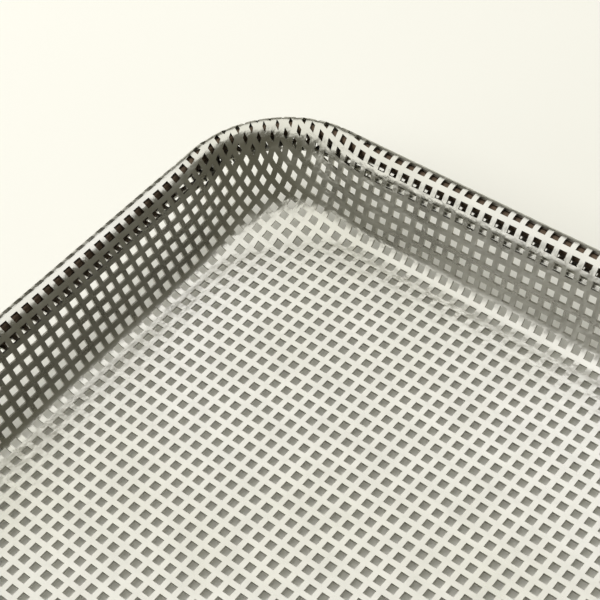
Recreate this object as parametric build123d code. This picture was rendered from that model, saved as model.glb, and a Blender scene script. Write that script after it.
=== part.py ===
from build123d import *
import os
from math import cos, pi, radians, sin, tan

# Perforated bakery tray: one pressed sheet with a flat floor, four leaning walls and a rim that is
# rolled outward round a stiffening wire. Millimetres. X is the long side, Z is up.
# The origin is under the middle of the floor, on the surface that the tray stands on.

# Driving dimensions
OVERALL_LENGTH = 600.0
OVERALL_WIDTH = 400.0
SHEET = 1.0                 # thickness of the sheet
DRAFT = 22.0                # how far the walls lean outward from upright, in degrees
BEND_RADIUS = 6.0           # inside radius between floor and wall
WALL_RUN = 23.5             # straight length of the wall, from the bend to the rim's first curve
LEAD_RADIUS = 11.0          # the rim first eases outward on this radius ...
LEAD_TURN = 37.0            # ... through this angle, in degrees
BEAD_RADIUS = 4.2           # outside radius of the rolled bead, over its top
HEM_RADIUS = 6.4            # outside radius of its underside, which curls back towards the wall ...
HEM_TURN = 131.0            # ... from the outermost place through this angle, in degrees
FLOOR_CORNER = 40.0         # corner radius in plan where the floor starts to bend
RIM_CORNER = 41.6           # corner radius in plan at the outside of the bead
WIRE_DIAMETER = 6.0
WIRE_GAP = 2.0              # gap between the wire's two ends
STUB = 0.6                  # height of straight wall that is made together with the rim

# Section of the sheet on a straight side. "out" is measured outward from the edge of the flat
# floor, "up" from the floor's top face, both to the face that shows inside the tray.
SLOPE = radians(90.0 - DRAFT)
bend_out = BEND_RADIUS * sin(SLOPE)
bend_up = BEND_RADIUS * (1 - cos(SLOPE))
lead_out = bend_out + WALL_RUN * cos(SLOPE)
lead_up = bend_up + WALL_RUN * sin(SLOPE)
HEADING = SLOPE - radians(LEAD_TURN)
bead_out = lead_out + LEAD_RADIUS * (sin(SLOPE) - sin(HEADING))
bead_up = lead_up + LEAD_RADIUS * (cos(HEADING) - cos(SLOPE))
centre_out = bead_out + BEAD_RADIUS * sin(HEADING)
centre_up = bead_up - BEAD_RADIUS * cos(HEADING)
RIM_OUT = centre_out + BEAD_RADIUS

FLOOR_LENGTH = OVERALL_LENGTH - 2 * RIM_OUT
FLOOR_WIDTH = OVERALL_WIDTH - 2 * RIM_OUT

# Corners in plan: the wall's radius changes evenly from the floor to the rim.
stub_out = lead_out - STUB / tan(SLOPE)
stub_z = SHEET + lead_up - STUB
stub_corner = RIM_CORNER - (RIM_OUT - stub_out)
corner_rate = (stub_corner - FLOOR_CORNER) / stub_out
sharp_out = BEND_RADIUS * tan(SLOPE / 2)
sharp_corner = FLOOR_CORNER + corner_rate * sharp_out
SIDEWAYS = SHEET / sin(SLOPE)               # the sheet's thickness measured level
under_out = sharp_out + SIDEWAYS - SHEET / tan(SLOPE)


def outline(out, corner, z):
    """A rounded rectangle that lies out beyond the floor's edge, at height z."""
    place = Plane.XY.offset(z)
    return place * RectangleRounded(FLOOR_LENGTH + 2 * out, FLOOR_WIDTH + 2 * out, corner)


def dish(low_out, low_corner, low_z, top_out, top_corner, bottom_radius):
    """A solid dish with leaning sides, rounded where its sides meet its bottom."""
    low = outline(low_out, low_corner, low_z)
    top = outline(top_out, top_corner, stub_z)
    body = loft([low, top], ruled=True)
    return fillet(body.edges().group_by(Axis.Z)[0], bottom_radius)


def floor_and_walls():
    """The pressed dish, as the difference of its outer and inner shapes."""
    outer = dish(
        under_out,
        sharp_corner + under_out - sharp_out,
        0.0,
        stub_out + SIDEWAYS,
        stub_corner + SIDEWAYS,
        BEND_RADIUS + SHEET,
    )
    inner = dish(sharp_out, sharp_corner, SHEET, stub_out, stub_corner, BEND_RADIUS)
    return outer - inner


def on_arc(centre, radius, angle):
    """The point at this angle on a circle in the section, angles from the outward direction."""
    return (centre[0] + radius * cos(angle), centre[1] + radius * sin(angle))


def rim_section():
    """The rolled rim's section as a face in the XY plane: x is out, y is z."""
    lead_centre = (
        lead_out + LEAD_RADIUS * sin(SLOPE),
        SHEET + lead_up - LEAD_RADIUS * cos(SLOPE),
    )
    centre = (centre_out, SHEET + centre_up)
    hem_centre = (RIM_OUT - HEM_RADIUS, SHEET + centre_up)
    lead_start = pi / 2 + SLOPE
    join = pi / 2 + HEADING
    end = -radians(HEM_TURN)
    back = LEAD_RADIUS - SHEET
    cavity = BEAD_RADIUS - SHEET
    hem_cavity = HEM_RADIUS - SHEET
    foot = (stub_out, stub_z)
    back_foot = (stub_out + SIDEWAYS, stub_z)

    def arc(middle, radius, a, b):
        """An arc from angle a to angle b through the angle halfway."""
        points = [on_arc(middle, radius, angle) for angle in (a, (a + b) / 2, b)]
        return ThreePointArc(*points)

    edges = [
        Line(foot, on_arc(lead_centre, LEAD_RADIUS, lead_start)),
        arc(lead_centre, LEAD_RADIUS, lead_start, join),
        arc(centre, BEAD_RADIUS, join, 0.0),
        arc(hem_centre, HEM_RADIUS, 0.0, end),
        Line(on_arc(hem_centre, HEM_RADIUS, end), on_arc(hem_centre, hem_cavity, end)),
        arc(hem_centre, hem_cavity, end, 0.0),
        arc(centre, cavity, 0.0, join),
        arc(lead_centre, back, join, lead_start),
        Line(on_arc(lead_centre, back, lead_start), back_foot),
        Line(back_foot, foot),
    ]
    return make_face(edges)


def around(section, gap=0.0):
    """Carries a section round the tray: four straight sides and four quarter turns.

    The side at -Y is left open in its middle, over the length gap.
    """
    turn_radius = RIM_CORNER - RIM_OUT      # from a corner's axis to the floor's edge
    reach_x = FLOOR_LENGTH / 2
    reach_y = FLOOR_WIDTH / 2
    axis_x = reach_x - turn_radius
    axis_y = reach_y - turn_radius
    pieces = []
    for angle, reach, half_run, opening in (
        (0, reach_x, axis_y, 0.0),
        (90, reach_y, axis_x, 0.0),
        (180, reach_x, axis_y, 0.0),
        (270, reach_y, axis_x, gap),
    ):
        stand = Location((reach, half_run, 0), (90, 0, 0))
        half = extrude(stand * section, amount=half_run - opening / 2)
        pieces += [Rot(0, 0, angle) * half, Rot(0, 0, angle) * mirror(half, Plane.XZ)]
    stand = Location((turn_radius, 0, 0), (90, 0, 0))
    quarter = revolve(stand * section, Axis.Z, 90)
    for angle, side_x, side_y in ((0, 1, 1), (90, -1, 1), (180, -1, -1), (270, 1, -1)):
        pieces.append(Pos(side_x * axis_x, side_y * axis_y, 0) * Rot(0, 0, angle) * quarter)
    whole = pieces[0]
    for piece in pieces[1:]:
        whole = whole + piece
    return whole


def make_pan():
    """The sheet, from the floor to the end of the rolled rim, in one piece."""
    return floor_and_walls() + around(rim_section())


def make_rim_wire():
    """The wire that the rim is rolled round: a loop with a small gap between its ends."""
    section = Pos(centre_out, SHEET + centre_up, 0) * Circle(WIRE_DIAMETER / 2)
    return around(section, WIRE_GAP)


os.makedirs("parts", exist_ok=True)
for name, make in (("pan", make_pan), ("rim_wire", make_rim_wire)):
    solid = make()
    solid.label = name
    export_step(solid, f"parts/{name}.step")
    box = solid.bounding_box()
    print(name, solid.volume, box.min, box.max, len(solid.solids()), solid.is_valid)
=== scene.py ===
from math import ceil, cos, pi, radians, sin, tan

import bpy
import numpy as np
from mathutils import Matrix, Vector


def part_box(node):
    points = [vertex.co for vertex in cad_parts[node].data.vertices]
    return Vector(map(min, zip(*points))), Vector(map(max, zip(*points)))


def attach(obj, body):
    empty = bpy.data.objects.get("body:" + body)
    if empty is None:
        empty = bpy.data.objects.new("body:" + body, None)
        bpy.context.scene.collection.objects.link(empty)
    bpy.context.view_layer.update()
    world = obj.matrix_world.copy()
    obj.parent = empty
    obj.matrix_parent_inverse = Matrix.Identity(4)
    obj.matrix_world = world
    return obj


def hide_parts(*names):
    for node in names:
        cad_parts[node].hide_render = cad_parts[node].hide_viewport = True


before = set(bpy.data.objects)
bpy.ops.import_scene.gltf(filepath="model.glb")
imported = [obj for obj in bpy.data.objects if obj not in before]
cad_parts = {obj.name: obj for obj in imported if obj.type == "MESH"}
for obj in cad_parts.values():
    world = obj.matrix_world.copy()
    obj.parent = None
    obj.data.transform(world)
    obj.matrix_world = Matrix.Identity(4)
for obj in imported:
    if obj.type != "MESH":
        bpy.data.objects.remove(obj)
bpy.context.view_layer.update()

# A perforated bakery tray: one pressed sheet with rows of square holes, and a wire in its rolled
# rim. The sheet is made here hole by hole. A flat blank with the holes in it is laid on the drawn
# shape, so that the rows turn and pinch in the corners as the pressed metal's do. Metres.

# The sheet's section, with the CAD model's sizes
SHEET = 0.001
SLOPE = radians(68)             # of the walls, from level
BEND_RADIUS = 0.006             # between floor and wall
WALL_RUN = 0.0235
LEAD_RADIUS = 0.011             # the rim eases outward on this radius first
LEAD_TURN = radians(37)
BEAD_RADIUS = 0.0042            # over the bead's top
HEM_RADIUS = 0.0064             # and under it, where it curls back towards the wall
HEM_TURN = radians(131)
FLOOR_CORNER = 0.040            # corner radius in plan at the floor's edge

# The perforation
PITCH = 0.005
HOLE = 0.003
PATTERN_X = -0.0017             # the rows aren't quite centred on the tray
PATTERN_Y = -0.0008
TURN_STEP = radians(20)         # the most that the mesh turns between two of its lines
FLAT_CURVE = 1.0                # a radius that asks for no more lines than the holes' own
CORNER_CURVE = 0.02             # a little tighter than the walls curve round a corner

HEADING = SLOPE - LEAD_TURN

low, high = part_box("pan")


def arc(run, radius, start, way):
    """(out, up) after a run along an arc that starts at this slope. way is 1 for up, -1 for over."""
    angle = start + way * run / radius
    return way * radius * (np.sin(angle) - sin(start)), way * radius * (cos(start) - np.cos(angle))


# Where each stretch of the section ends: run along the sheet, and (out, up) from the floor's edge
BEND_RUN = BEND_RADIUS * SLOPE
BEND_END = arc(BEND_RUN, BEND_RADIUS, 0.0, 1)
WALL_TOP = BEND_RUN + WALL_RUN
WALL_END = (BEND_END[0] + WALL_RUN * cos(SLOPE), BEND_END[1] + WALL_RUN * sin(SLOPE))
LEAD_TOP = WALL_TOP + LEAD_RADIUS * LEAD_TURN
LEAD_STEP = arc(LEAD_TOP - WALL_TOP, LEAD_RADIUS, SLOPE, -1)
LEAD_END = (WALL_END[0] + LEAD_STEP[0], WALL_END[1] + LEAD_STEP[1])
BEAD_RUN = BEAD_RADIUS * (HEADING + pi / 2)
BEAD_STEP = arc(BEAD_RUN, BEAD_RADIUS, HEADING, -1)
BEAD_END = (LEAD_END[0] + BEAD_STEP[0], LEAD_END[1] + BEAD_STEP[1])
OUTERMOST = LEAD_TOP + BEAD_RUN
RUN_END = OUTERMOST + HEM_RADIUS * HEM_TURN
RIM_OUT = BEAD_END[0]

EDGE_X = high.x - RIM_OUT       # edge of the flat floor
EDGE_Y = high.y - RIM_OUT


def section(run):
    """(out, up) at a run along the sheet from the floor's edge, on the face that shows inside."""
    bend = arc(run, BEND_RADIUS, 0.0, 1)
    lead = arc(run - WALL_TOP, LEAD_RADIUS, SLOPE, -1)
    bead = arc(run - LEAD_TOP, BEAD_RADIUS, HEADING, -1)
    hem = arc(run - OUTERMOST, HEM_RADIUS, -pi / 2, -1)
    climb = run - BEND_RUN
    stretch = [run <= 0, run < BEND_RUN, run < WALL_TOP, run < LEAD_TOP, run < OUTERMOST]
    out = [
        run,
        bend[0],
        BEND_END[0] + climb * cos(SLOPE),
        WALL_END[0] + lead[0],
        LEAD_END[0] + bead[0],
    ]
    up = [
        0 * run,
        bend[1],
        BEND_END[1] + climb * sin(SLOPE),
        WALL_END[1] + lead[1],
        LEAD_END[1] + bead[1],
    ]
    return (
        np.select(stretch, out, BEAD_END[0] + hem[0]),
        np.select(stretch, up, BEAD_END[1] + hem[1]),
    )


# In a corner the blank stretches up the wall and gathers along it. FLOW gives the run up the
# section for a distance beyond the floor's corner, as factors of its powers. GATHER pinches the
# rows towards the corner's middle, per metre of run.
FLOW = (0.716, 8.3, -42.0)
GATHER = 4.6
CORNER_BEND = 0.014             # radius of the bend in a corner's middle, softer than in the CAD
WALL_CORNER = 0.03045           # corner radius in plan at the wall's top, 0.25 mm under the CAD's
PINCH = 0.5                     # how much narrower the holes are drawn at a corner's rim

SWELL = 0.0012                  # how far the floor rises towards a corner
SWELL_REACH = 0.060
PUCKER = 0.00015                # height of the small waves in a corner's bend
PUCKER_RUN = 0.004              # where on the bend they are highest
PUCKER_SPREAD = 0.006           # and how far up and down from there they fade
WAVES_ROUND = 37.0              # radians of wave per radian round the corner
WAVES_UP = 700.0                # radians of wave per metre of run


def corner_run(beyond, turn):
    """Run up the section of a point of the blank that lies this far beyond the floor's corner."""
    middle = np.sin(2 * turn) ** 2
    drawn = beyond * (FLOW[0] + FLOW[1] * beyond + FLOW[2] * beyond**2)
    return np.where(beyond > 0, beyond + (drawn - beyond) * middle, beyond)


def swell(a, b):
    """Rise of the floor near a corner, from its full height at the corner to nothing inward."""
    squared = (a - FLOOR_CORNER) ** 2 + (b - FLOOR_CORNER) ** 2
    return SWELL * np.exp(-squared / (2 * SWELL_REACH**2))


def pucker(run, turn):
    """Height of the small waves that pressing leaves where a corner bends up from the floor."""
    near = np.exp(-(((run - PUCKER_RUN) / PUCKER_SPREAD) ** 2))
    wave = np.sin(WAVES_ROUND * turn + WAVES_UP * run)
    return PUCKER * near * np.sin(2 * turn) ** 2 * wave


def polar(a, b):
    """(whether in a corner, angle from its +a side), of places from where the corner starts."""
    return (a > 0) & (b > 0), np.arctan2(np.maximum(b, 0), np.maximum(a, 1e-9))


def blank_run(a, b):
    """Run from the floor's edge, of points of the blank placed from where the corner starts."""
    corner, turn = polar(a, b)
    run = np.where(
        corner,
        corner_run(np.hypot(a, b) - FLOOR_CORNER, turn),
        np.maximum(a, b) - FLOOR_CORNER,
    )
    return np.minimum(run, RUN_END)


def corner_section(run, turn):
    """(out, up, corner radius in plan) at a run and an angle round the corner.

    Towards the corner's middle the bend from floor to wall is softer and starts further in. From
    its start the plan radius shrinks evenly up to the wall's top, and follows the rim beyond.
    """
    bend_radius = BEND_RADIUS + (CORNER_BEND - BEND_RADIUS) * np.sin(2 * turn) ** 2
    inset = (bend_radius - BEND_RADIUS) * tan(SLOPE / 2)
    angle = SLOPE * (run + inset) / (BEND_RUN + 2 * inset)
    out, up = section(run)
    bend = (run > -inset) & (run < BEND_RUN + inset)
    out = np.where(bend, bend_radius * np.sin(angle) - inset, out)
    up = np.where(bend, bend_radius * (1 - np.cos(angle)), up)
    first = FLOOR_CORNER - inset
    share = (out + inset) / (WALL_END[0] + inset)
    radius = np.where(
        run < WALL_TOP, first + (WALL_CORNER - first) * share, WALL_CORNER + out - WALL_END[0]
    )
    return out, up, radius


def drawn_place(a, b, run):
    """Where points of the blank come to lie at a run up the section, from where the corner starts."""
    corner, turn = polar(a, b)
    out, up, radius = corner_section(run, turn)
    straight = FLOOR_CORNER + out - radius
    length = 2 * straight + pi / 2 * radius
    share = turn / (pi / 2)
    share = share + GATHER * np.maximum(run, 0) * np.sin(2 * pi * share) / (2 * pi)
    along = share * length
    angle = np.clip((along - straight) / radius, 0, pi / 2)
    reach = straight + radius
    corner_a = np.where(
        along > length - straight, length - along, straight + radius * np.cos(angle)
    )
    corner_b = np.where(along < straight, along, straight + radius * np.sin(angle))
    flat = up <= 0
    place_a = np.where(flat, a, np.where(corner, corner_a, np.where(a > b, reach, a)))
    place_b = np.where(flat, b, np.where(corner, corner_b, np.where(a > b, b, reach)))
    rise = swell(a, b) * np.maximum(0, 1 - up / WALL_END[1]) + pucker(run, turn)
    return np.stack([place_a, place_b, up + rise], axis=-1)


def drawn_normal(a, b, run):
    """Unit normal of the drawn sheet at the same points, towards the inside of the tray."""
    step = 1e-5
    climb = drawn_place(a, b, run + step) - drawn_place(a, b, run - step)
    far = np.hypot(a, b) + 1e-9
    corner = (a > 0) & (b > 0)
    move_a = step * np.where(corner, -b / far, np.where(a > b, 0, -1))
    move_b = step * np.where(corner, a / far, np.where(a > b, 1, 0))
    aside = drawn_place(a + move_a, b + move_b, run) - drawn_place(a - move_a, b - move_b, run)
    normal = np.cross(climb, aside)
    slope_a = (swell(a + step, b) - swell(a - step, b)) / (2 * step)
    slope_b = (swell(a, b + step) - swell(a, b - step)) / (2 * step)
    level = np.stack([-slope_a, -slope_b, np.ones_like(run)], axis=-1)
    flat = np.linalg.norm(climb, axis=-1) < step
    normal[flat] = level[flat]
    return normal / np.linalg.norm(normal, axis=-1, keepdims=True)


def pinched(a, b, centre_a, centre_b):
    """Points of the blank, moved nearer their hole's centre line where the rim's corner gathers."""
    turn = polar(centre_a, centre_b)[1]
    height = np.clip(blank_run(centre_a, centre_b) / LEAD_TOP, 0, 1)
    amount = PINCH * height * np.sin(2 * turn) ** 2
    aside = amount * ((b - centre_b) * np.cos(turn) - (a - centre_a) * np.sin(turn))
    return a + aside * np.sin(turn), b - aside * np.cos(turn)


def lay(x, y, centre_x, centre_y):
    """Lays points of the flat blank, each with its hole's centre, on the drawn shape.

    Returns (run, place, normal).
    """
    side_x = np.where(x < 0, -1, 1)
    side_y = np.where(y < 0, -1, 1)
    start_x = EDGE_X - FLOOR_CORNER
    start_y = EDGE_Y - FLOOR_CORNER
    a, b = pinched(
        side_x * x - start_x,
        side_y * y - start_y,
        side_x * centre_x - start_x,
        side_y * centre_y - start_y,
    )
    run = blank_run(a, b)
    sides = np.stack([side_x, side_y, np.ones_like(side_x)], axis=-1)
    place = (drawn_place(a, b, run) + (start_x, start_y, low.z + SHEET)) * sides
    return run, place, drawn_normal(a, b, run) * sides


def mesh_lines(edge, shift):
    """Lines of the mesh across one axis of the blank: (places, whether a hole follows, row)."""
    reach = edge + RUN_END
    rows = ceil(reach / PITCH)
    places, hole, row = [], [], []
    for k in range(-rows, rows + 1):
        centre = shift + k * PITCH
        for start, width, is_hole in (
            (centre - HOLE / 2, HOLE, True),
            (centre + HOLE / 2, PITCH - HOLE, False),
        ):
            run = abs(start + width / 2) - edge
            if run < -FLOOR_CORNER - PITCH:
                radius = FLAT_CURVE
            elif run < BEND_RUN + PITCH:
                radius = BEND_RADIUS
            elif run < WALL_TOP - PITCH:
                radius = CORNER_CURVE
            elif run < LEAD_TOP:
                radius = LEAD_RADIUS
            elif run < OUTERMOST:
                radius = BEAD_RADIUS
            else:
                radius = HEM_RADIUS
            parts = max(1, ceil(width / radius / TURN_STEP))
            for part in range(parts):
                places.append(start + width * part / parts)
                hole.append(is_hole)
                row.append(k)
    return np.array(places), np.array(hole), np.array(row)


def make_sheet():
    """The perforated sheet as pieces: its floor, and its sides with the rim."""
    x_lines, x_hole, x_row = mesh_lines(EDGE_X, PATTERN_X)
    y_lines, y_hole, y_row = mesh_lines(EDGE_Y, PATTERN_Y)
    x, y = np.meshgrid(x_lines, y_lines, indexing="ij")
    centre_x, centre_y = np.meshgrid(
        PATTERN_X + x_row * PITCH, PATTERN_Y + y_row * PITCH, indexing="ij"
    )
    run, front, normal = lay(x, y, centre_x, centre_y)
    back = front - SHEET * normal

    nx, ny = run.shape
    i, j = np.meshgrid(np.arange(nx - 1), np.arange(ny - 1), indexing="ij")
    corners = [(0, 0), (1, 0), (1, 1), (0, 1)]
    cell_run = np.stack([run[i + u, j + v] for u, v in corners])
    solid = ~(x_hole[i] & y_hole[j]) & (cell_run.min(axis=0) < RUN_END - 1e-7)
    index = np.arange(nx * ny).reshape(nx, ny)
    quads = np.stack([index[i + u, j + v] for u, v in corners], axis=-1)
    flat = lay(centre_x, centre_y, centre_x, centre_y)[0][i, j] <= 0
    return [
        sheet_piece("sheet_floor", quads[solid & flat], front, back, normal),
        sheet_piece("sheet_sides", quads[solid & ~flat], front, back, normal),
    ]


def sheet_piece(name, quads, front, back, normal):
    """One closed piece of the sheet from its front faces."""
    front, back, normal = (points.reshape(-1, 3) for points in (front, back, normal))
    used, quads = np.unique(quads, return_inverse=True)
    quads = quads.reshape(-1, 4)
    count = len(used)
    edges = np.stack([quads, np.roll(quads, -1, axis=1)], axis=-1).reshape(-1, 2)
    forward = edges[:, 0] * count + edges[:, 1]
    backward = edges[:, 1] * count + edges[:, 0]
    rim = edges[~np.isin(forward, backward)]
    walls = np.stack([rim[:, 0], rim[:, 0] + count, rim[:, 1] + count, rim[:, 1]], axis=-1)
    faces = np.concatenate([quads, quads[:, ::-1] + count, walls])
    points = np.concatenate([front[used], back[used]])

    mesh = bpy.data.meshes.new(name)
    mesh.vertices.add(len(points))
    mesh.vertices.foreach_set("co", points.ravel())
    mesh.loops.add(faces.size)
    mesh.loops.foreach_set("vertex_index", faces.ravel())
    mesh.polygons.add(len(faces))
    mesh.polygons.foreach_set("loop_start", np.arange(len(faces)) * 4)
    mesh.update(calc_edges=True)
    mesh.validate()
    if len(mesh.polygons) != len(faces):
        raise ValueError(f"{name}: the mesh lost faces")
    shade = np.concatenate([normal[used], -normal[used]])[faces]
    across = np.cross(
        points[walls[:, 1]] - points[walls[:, 0]], points[walls[:, 2]] - points[walls[:, 1]]
    )
    across /= np.linalg.norm(across, axis=1, keepdims=True) + 1e-12
    shade[2 * len(quads):] = across[:, None, :]
    mesh.normals_split_custom_set(shade.reshape(-1, 3).tolist())
    piece = bpy.data.objects.new(name, mesh)
    bpy.context.collection.objects.link(piece)
    return piece


def noise(tree, place, scale, stretch, detail):
    """A noise pattern over a place, with its scale multiplied by a factor on each axis."""
    mapping = tree.nodes.new("ShaderNodeMapping")
    mapping.inputs["Scale"].default_value = stretch
    pattern = tree.nodes.new("ShaderNodeTexNoise")
    pattern.inputs["Scale"].default_value = scale
    pattern.inputs["Detail"].default_value = detail
    tree.links.new(place, mapping.inputs["Vector"])
    tree.links.new(mapping.outputs["Vector"], pattern.inputs["Vector"])
    return pattern.outputs["Fac"]


def between(tree, factor, low_value, high_value):
    """A factor of 0.3 to 0.7, which is most of a noise pattern, spread over a range of values."""
    spread = tree.nodes.new("ShaderNodeMapRange")
    spread.inputs["From Min"].default_value = 0.3
    spread.inputs["From Max"].default_value = 0.7
    spread.inputs["To Min"].default_value = low_value
    spread.inputs["To Max"].default_value = high_value
    tree.links.new(factor, spread.inputs["Value"])
    return spread.outputs["Result"]


def total(tree, first, second):
    """The sum of two values."""
    node = tree.nodes.new("ShaderNodeMath")
    node.operation = "ADD"
    tree.links.new(first, node.inputs[0])
    tree.links.new(second, node.inputs[1])
    return node.outputs[0]


STAINED = (0.86, 0.86, 0.80)    # what a stain leaves of the metal's red, green and blue


def metal_colour(tree, colour, stain, marks):
    """The metal's colour, darker and warmer where it is stained, and darker at the marks."""
    stained = [share * channel for share, channel in zip(STAINED, colour)]
    tone = tree.nodes.new("ShaderNodeMix")
    tone.data_type = "RGBA"
    tone.inputs[6].default_value = (*colour, 1.0)
    tone.inputs[7].default_value = (*stained, 1.0)
    tree.links.new(between(tree, stain, 0.0, 1.0), tone.inputs[0])
    shade = tree.nodes.new("ShaderNodeVectorMath")
    shade.operation = "SCALE"
    tree.links.new(tone.outputs[2], shade.inputs[0])
    tree.links.new(between(tree, marks, 0.86, 1.0), shade.inputs["Scale"])
    return shade.outputs[0]


def metal_normal(tree, grain, lines, dents):
    """The surface's normal, with fine lines as strong as the grain, and shallow dents."""
    normal = None
    for height, distance, strength in ((lines, 0.00005, grain), (dents, 0.0004, 0.8)):
        bump = tree.nodes.new("ShaderNodeBump")
        bump.inputs["Strength"].default_value = strength
        bump.inputs["Distance"].default_value = distance
        tree.links.new(height, bump.inputs["Height"])
        if normal:
            tree.links.new(normal, bump.inputs["Normal"])
        normal = bump.outputs["Normal"]
    return normal


def steel(name, colour, roughness, grain):
    """Bare steel with rolling lines, fine scratches, handling marks, dents and a faint stain."""
    material = bpy.data.materials.new(name)
    material.use_nodes = True
    tree = material.node_tree
    place = tree.nodes.new("ShaderNodeTexCoord").outputs["Object"]
    rolling = noise(tree, place, 260.0, (0.06, 1.0, 1.0), 3.0)
    scratches = noise(tree, place, 900.0, (1.0, 0.05, 1.0), 2.0)
    marks = noise(tree, place, 90.0, (1.0, 1.0, 1.0), 8.0)
    stain = noise(tree, place, 9.0, (1.0, 1.0, 1.0), 4.0)
    dents = noise(tree, place, 280.0, (1.0, 1.0, 1.0), 2.0)

    streaks = between(tree, rolling, roughness - 0.04, roughness + 0.05)
    patches = between(tree, marks, -0.04, 0.07)
    normal = metal_normal(tree, grain, total(tree, rolling, scratches), dents)
    shader = tree.nodes["Principled BSDF"]
    shader.inputs["Metallic"].default_value = 1.0
    tree.links.new(metal_colour(tree, colour, stain, marks), shader.inputs["Base Color"])
    tree.links.new(total(tree, streaks, patches), shader.inputs["Roughness"])
    tree.links.new(normal, shader.inputs["Normal"])
    return material


sheet_steel = steel("rolled_steel", (0.57, 0.561, 0.528), 0.28, 0.4)
# The wire's colour is painted shade: far darker and browner than its bare steel, standing in for the
# shade inside the rolled bead.
wire_steel_painted_shade = steel("wire_steel_painted_shade", (0.11, 0.08, 0.058), 0.45, 0.5)

for piece in make_sheet():
    piece.data.materials.append(sheet_steel)
    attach(piece, "root")
    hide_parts("pan")

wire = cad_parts["rim_wire"]
wire.data.materials.clear()
wire.data.materials.append(wire_steel_painted_shade)


def make_floor():
    """A wide pale floor, a little under the tray so that some light gets in beneath it."""
    reach = 6.0
    gap = 0.002
    corners = [(-reach, -reach, 0), (reach, -reach, 0), (reach, reach, 0), (-reach, reach, 0)]
    mesh = bpy.data.meshes.new("floor")
    mesh.from_pydata(corners, [], [(0, 1, 2, 3)])
    material = bpy.data.materials.new("pale_floor")
    material.use_nodes = True
    shader = material.node_tree.nodes["Principled BSDF"]
    shader.inputs["Base Color"].default_value = (0.90, 0.89, 0.825, 1)
    shader.inputs["Roughness"].default_value = 0.9
    mesh.materials.append(material)
    floor = bpy.data.objects.new("studio_floor", mesh)
    floor.location.z = low.z - gap
    bpy.context.collection.objects.link(floor)


def soft_light(name, place, aim, size, strength):
    """A rectangular soft box that faces its aim, as bright to look at whatever its size."""
    width, height = size
    light = bpy.data.lights.new(name, "AREA")
    light.shape = "RECTANGLE"
    light.size = width
    light.size_y = height
    light.energy = strength * pi * width * height
    lamp = bpy.data.objects.new(name, light)
    lamp.location = place
    lamp.rotation_euler = (Vector(aim) - Vector(place)).to_track_quat("-Z", "Y").to_euler()
    bpy.context.collection.objects.link(lamp)


def make_world():
    """A dim, slightly olive surround, which the walls that face away from the lights reflect."""
    world = bpy.data.worlds.new("studio")
    world.use_nodes = True
    background = world.node_tree.nodes["Background"]
    background.inputs["Color"].default_value = (0.5, 0.48, 0.37, 1)
    background.inputs["Strength"].default_value = 0.36
    bpy.context.scene.world = world


def make_camera(place, aim, roll, lens):
    """A camera at this place that looks at its aim, rolled about its own line of sight."""
    data = bpy.data.cameras.new("camera")
    data.lens = lens
    data.sensor_width = 36
    data.clip_start = 0.01
    camera = bpy.data.objects.new("camera", data)
    look = (aim - place).to_track_quat("-Z", "Y").to_matrix().to_4x4()
    camera.matrix_world = Matrix.Translation(place) @ look @ Matrix.Rotation(roll, 4, "Z")
    bpy.context.collection.objects.link(camera)
    bpy.context.scene.camera = camera


make_floor()
soft_light("ceiling", (-1.15, 0.1, 1.5), (-1.15, 0.1, 0.0), (2.9, 4.2), 1.6)
soft_light("side_card", (-1.75, -1.95, 0.75), (-0.2, 0.1, 0.0), (2.0, 1.0), 1.9)
make_world()
bpy.context.scene.view_settings.view_transform = "Standard"
make_camera(
    place=Vector((0.0199, -0.1167, 0.4103)),
    aim=Vector((-0.2391, 0.1438, 0.001)),
    roll=radians(-7.45),
    lens=92.8,
)
